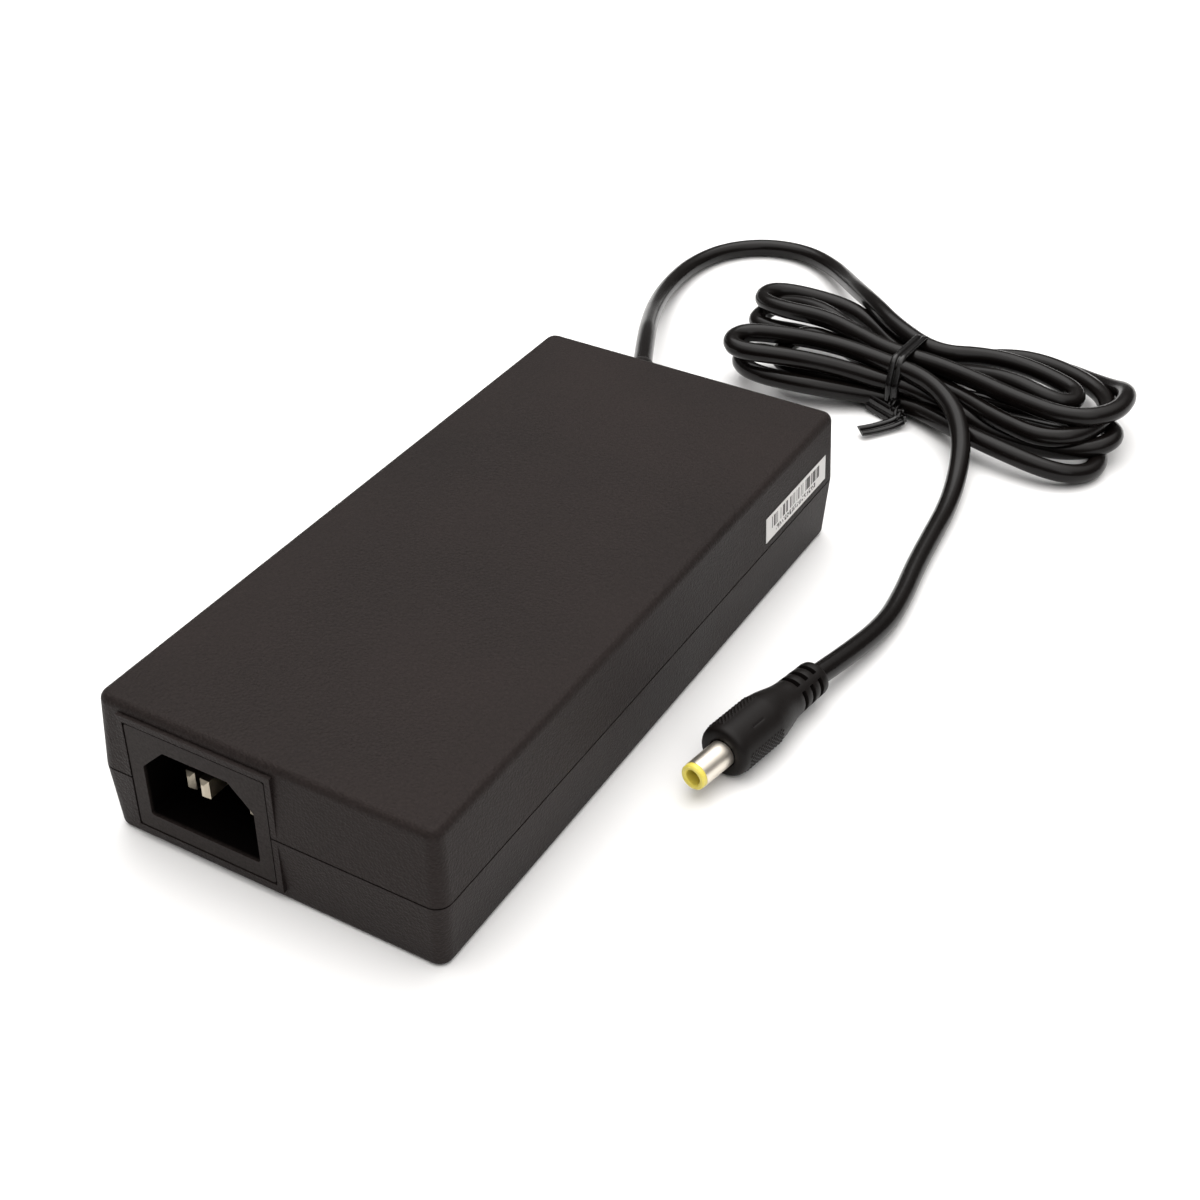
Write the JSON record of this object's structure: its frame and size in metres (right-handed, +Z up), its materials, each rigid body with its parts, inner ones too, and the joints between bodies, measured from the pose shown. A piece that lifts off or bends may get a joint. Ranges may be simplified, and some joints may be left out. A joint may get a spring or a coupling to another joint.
{
  "type": "laptop power adapter",
  "caption": "Flat rectangular mains-to-low-voltage power adapter with a three-blade mains inlet, a captive hanked lead and a straight barrel plug.",
  "frame": {"origin": "middle of the case's resting face", "axes": "+Y along the case towards the lead's end, the mains inlet facing -Y; +X towards the labelled long side; +Z up"},
  "size_m": [0.1372, 0.2774, 0.0309],
  "materials": {
    "case_plastic": "satin",
    "inlet_plastic": "satin",
    "plated_steel": "polished",
    "nickel": "polished",
    "label_paper": "matte",
    "label_film": "matte",
    "cord_pvc": "satin",
    "tip_plastic": "gloss",
    "tie_plastic": "satin",
    "board": "satin",
    "aluminium": "satin",
    "insulation": "satin",
    "silicone": "matte",
    "glass_body": "gloss",
    "box_yellow": "satin",
    "disc_blue": "gloss",
    "disc_green": "gloss",
    "ferrite": "matte",
    "copper": "satin",
    "bobbin_plastic": "satin",
    "package_epoxy": "matte",
    "can_sleeve": "gloss",
    "steel_screw": "satin",
    "wire_brown": "satin",
    "wire_blue": "satin",
    "wire_red": "satin",
    "wire_black": "satin"
  },
  "bodies": {
    "root": {"top_shell": "case_plastic", "bottom_shell": "case_plastic", "inlet_housing": "inlet_plastic", "inlet_live_blade": "plated_steel", "inlet_neutral_blade": "plated_steel", "inlet_earth_blade": "plated_steel", "barcode_label": "label_paper", "rating_label": "label_film", "cord_strain_relief": "cord_pvc", "cord_lead": "cord_pvc", "cord_hank": "cord_pvc", "cord_tail": "cord_pvc", "twist_tie": "tie_plastic", "plug_overmould": "cord_pvc", "plug_barrel": "nickel", "plug_insulator": "tip_plastic", "plug_inner_contact": "nickel", "circuit_board": "board", "lower_heat_spreader": "aluminium", "lower_insulating_sheet": "insulation", "upper_insulating_sheet": "insulation", "upper_heat_spreader": "aluminium", "thermal_pads": "silicone", "fuse": "glass_body", "x_capacitors": "box_yellow", "inrush_thermistor": "disc_green", "surge_varistor": "disc_blue", "y_capacitors": "disc_blue", "line_choke_core": "ferrite", "line_choke_windings": "copper", "film_capacitor": "box_yellow", "bridge_rectifier": "package_epoxy", "pfc_transistor": "package_epoxy", "pfc_diode": "package_epoxy", "main_transistors": "package_epoxy", "primary_heatsink": "aluminium", "bulk_capacitor": "can_sleeve", "pfc_choke_core": "ferrite", "pfc_choke_bobbin": "bobbin_plastic", "pfc_choke_winding": "copper", "transformer_core": "ferrite", "transformer_bobbin": "bobbin_plastic", "transformer_windings": "copper", "output_rectifiers": "package_epoxy", "secondary_heatsink": "aluminium", "device_screws": "steel_screw", "output_choke_core": "ferrite", "output_choke_winding": "copper", "output_capacitors": "can_sleeve", "optocouplers": "package_epoxy", "controller_chips": "package_epoxy", "live_wire": "wire_brown", "neutral_wire": "wire_blue", "output_positive_wire": "wire_red", "output_negative_wire": "wire_black"}
  },
  "joints": []
}
